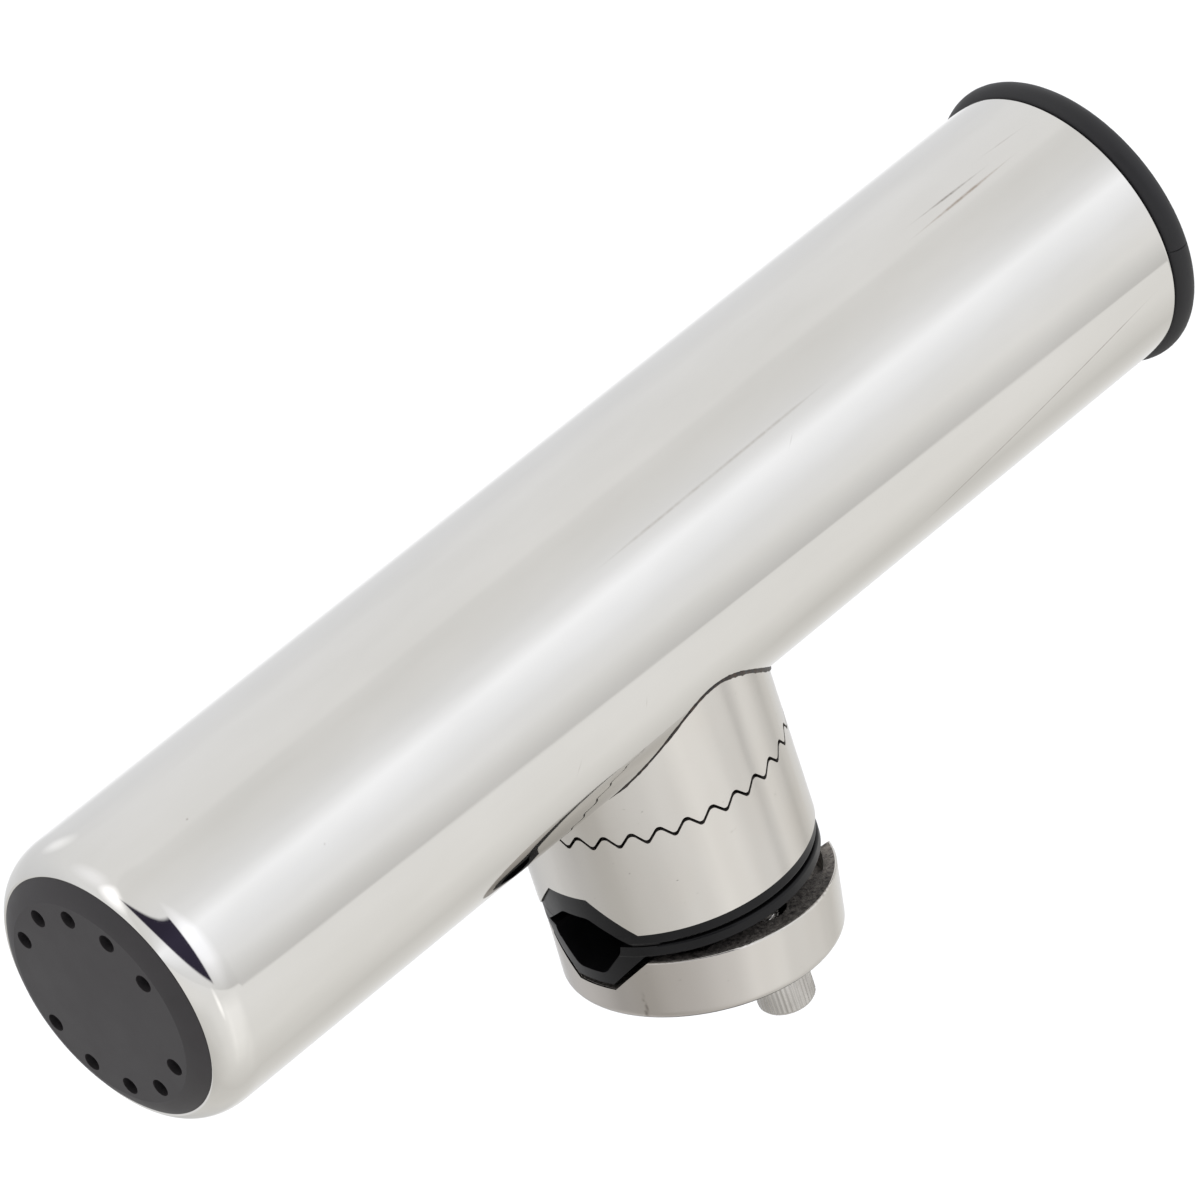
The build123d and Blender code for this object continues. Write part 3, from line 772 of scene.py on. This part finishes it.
def add_mouth_liner():
    bead_r = LINER_BORE + BEAD_RADIUS
    join = TUBE_MOUTH_X + 0.03
    low = bead_r - LINER_RADIUS
    begin = 180 + degrees_of(low, sqrt(BEAD_RADIUS ** 2 - low ** 2))
    profile = [(LINER_START_X, LINER_BORE + 0.4), (LINER_START_X + 0.15, LINER_BORE + 0.1),
               (LINER_START_X + 0.5, LINER_BORE), (BEAD_X, LINER_BORE)]
    profile += corner_arc(BEAD_X, bead_r, BEAD_RADIUS, -90, begin, BEAD_STEPS)[1:]
    profile += [(join - 0.2, LINER_RADIUS), (LINER_START_X + 0.4, LINER_RADIUS),
                (LINER_START_X, LINER_RADIUS - 0.4)]

    def dent(angle, x, radius):
        if radius < LINER_RADIUS + 0.3 or x < TUBE_MOUTH_X:
            return radius
        close = abs((angle - MOULD_TICK + pi) % (2 * pi) - pi)
        return radius - TICK_DEPTH if close < TICK_HALF / 2 else radius

    angles = even_angles(TUBE_COLUMNS)
    angles += [MOULD_TICK % (2 * pi) + side * TICK_HALF for side in (-1, 0, 1)]
    verts, faces = about_tube(list(reversed(profile)), sorted(angles), dent)
    new_piece("mouth_bead", "rod_tube", PLASTIC_DARK, verts, faces, ("mouth_liner",))


def degrees_of(opposite, beside):
    return atan2(opposite, beside) * 180 / pi


add_mouth_liner()

# ---- screws ----

FLUTE_POINTS = 6                      # mesh columns to each flute of a knurled head
THREAD_RINGS = 10                     # mesh rings to each turn of a thread
SHANK_COLUMNS = 48
SOCKET_FLATS = 5.0
HEAD_JOIN = 0.4                       # the shank starts this far inside the head
PLAIN = 0.9                           # unthreaded length under the head

CLAMP_SCREW = {
    "head_bottom": -23.35, "head_height": 5.9, "head_radius": 4.85, "flutes": 38, "socket": 3.0,
    "length": 35.0, "radius": 3.0, "pitch": 1.0,
}
SWIVEL_BOLT = {
    "head_bottom": 9.3, "head_height": 5.0, "head_radius": 6.5, "flutes": 44, "socket": 2.8,
    "length": 12.4, "radius": 4.0, "pitch": 1.25,
}


def hexagon_reach(angle):
    return SOCKET_FLATS / 2 / cos((angle + pi / 6) % (pi / 3) - pi / 6)


def knurled_head(centre_y, bottom, top, radius, flutes, socket_depth):
    """Socket head, open end down, as verts and faces in mm."""
    angles = even_angles(flutes * FLUTE_POINTS)
    depth = 0.2
    chamfer = 0.45
    socket_end = bottom + socket_depth
    rings = []

    def add_ring(z, reach):
        rings.append([(reach(a) * cos(a), centre_y + reach(a) * sin(a), z) for a in angles])

    def fluted(a):
        return radius - depth * (0.5 - 0.5 * cos(flutes * a)) ** 0.7

    drill_tip = socket_end + 0.7
    add_ring(drill_tip, lambda a: 0.15)
    add_ring(socket_end, lambda a: SOCKET_FLATS / 2 * 0.97)
    add_ring(socket_end, hexagon_reach)
    add_ring(bottom + 0.25, hexagon_reach)
    add_ring(bottom, lambda a: max(hexagon_reach(a), SOCKET_FLATS / 2 * 1.1))
    add_ring(bottom, lambda a: radius - chamfer - 0.25)
    add_ring(bottom + 0.05, lambda a: radius - chamfer)
    add_ring(bottom + chamfer, lambda a: radius - 0.14)
    add_ring(bottom + chamfer + 0.2, fluted)
    add_ring(top - 0.5, fluted)
    add_ring(top - 0.25, lambda a: radius - 0.14)
    add_ring(top, lambda a: radius - 0.3)
    return rings_to_mesh(rings)


def threaded_shank(centre_y, bottom, top, radius, pitch):
    """Right-hand 60 degree thread above a short plain length, as verts and faces in mm."""
    angles = even_angles(SHANK_COLUMNS)
    depth = 0.6 * pitch
    count = ceil((top - bottom) / pitch * THREAD_RINGS)
    rings = []
    for k in range(count + 1):
        z = bottom + (top - bottom) * k / count
        ring = []
        for a in angles:
            wave = abs(((z / pitch - a / (2 * pi)) % 1.0) - 0.5) * 2
            cut = depth * min(max((wave - 0.12) / 0.76, 0.0), 1.0)
            cut *= min(max((z - bottom - PLAIN) / pitch, 0.0), 1.0)
            limit = radius - max(0.0, 0.65 - (top - z))
            r = min(radius - cut, limit)
            ring.append((r * cos(a), centre_y + r * sin(a), z))
        rings.append(ring)
    return rings_to_mesh(rings)


def join_meshes(*parts):
    verts, faces = [], []
    for more, sides in parts:
        base = len(verts)
        verts += more
        faces += [tuple(base + i for i in side) for side in sides]
    return verts, faces


def add_screw(name, body, node, y, size):
    head_top = size["head_bottom"] + size["head_height"]
    head = knurled_head(y, size["head_bottom"], head_top, size["head_radius"], size["flutes"], size["socket"])
    start, end = head_top - HEAD_JOIN, head_top + size["length"]
    shank = threaded_shank(y, start, end, size["radius"], size["pitch"])
    verts, faces = join_meshes(head, shank)
    new_piece(name, body, STEEL, verts, faces, (node,), 40.0)


add_screw("front_socket_screw", "front_screw", "clamp_screw_front", -SCREW_Y, CLAMP_SCREW)
add_screw("rear_socket_screw", "rear_screw", "clamp_screw_rear", SCREW_Y, CLAMP_SCREW)
add_screw("swivel_socket_bolt", "swivel_bolt", "swivel_bolt", 0.0, SWIVEL_BOLT)

# ---- the seam between the saddle and the tube ----

SEAM_STEPS = 360


def add_saddle_seam():
    """Dark, uneven bead where the saddle meets the tube: painted shade standing in for the shadowed crevice
    between them.
    """
    rings = []
    for n in range(SEAM_STEPS):
        a = 2 * pi * n / SEAM_STEPS
        spot = Vector((CLAMP_RADIUS * cos(a), CLAMP_RADIUS * sin(a), 0.0))
        spot.z = TUBE_AXIS_Z - sqrt(TUBE_RADIUS ** 2 - spot.y ** 2)
        ahead = Vector((CLAMP_RADIUS * cos(a + 0.01), CLAMP_RADIUS * sin(a + 0.01), 0.0))
        ahead.z = TUBE_AXIS_Z - sqrt(TUBE_RADIUS ** 2 - ahead.y ** 2)
        along = (ahead - spot).normalized()
        outward = Vector((cos(a), sin(a), 0.0))
        outward = (outward - along * outward.dot(along)).normalized()
        across = along.cross(outward)
        wander = noise.noise(spot * 0.35) + 0.5 * noise.noise(spot * 1.1)
        bulk = 0.25 + 0.17 * cos(a) + 0.15 * max(0.0, wander)
        bulk = max(bulk, 0.07)
        ring = []
        for k in range(8):
            turn = 2 * pi * k / 8
            rough = 1.0 + 0.3 * noise.noise(Vector((a * 40, k * 1.7, 0.0)))
            ring.append(tuple(spot + (outward * cos(turn) * 0.85 + across * sin(turn) * 1.25) * bulk * rough))
        rings.append(ring)
    verts, faces = rings_to_mesh(rings, closed_loop=True)
    new_piece("saddle_seam", "rod_tube", SEAM_SHADE, verts, faces, (), 60.0)


add_saddle_seam()
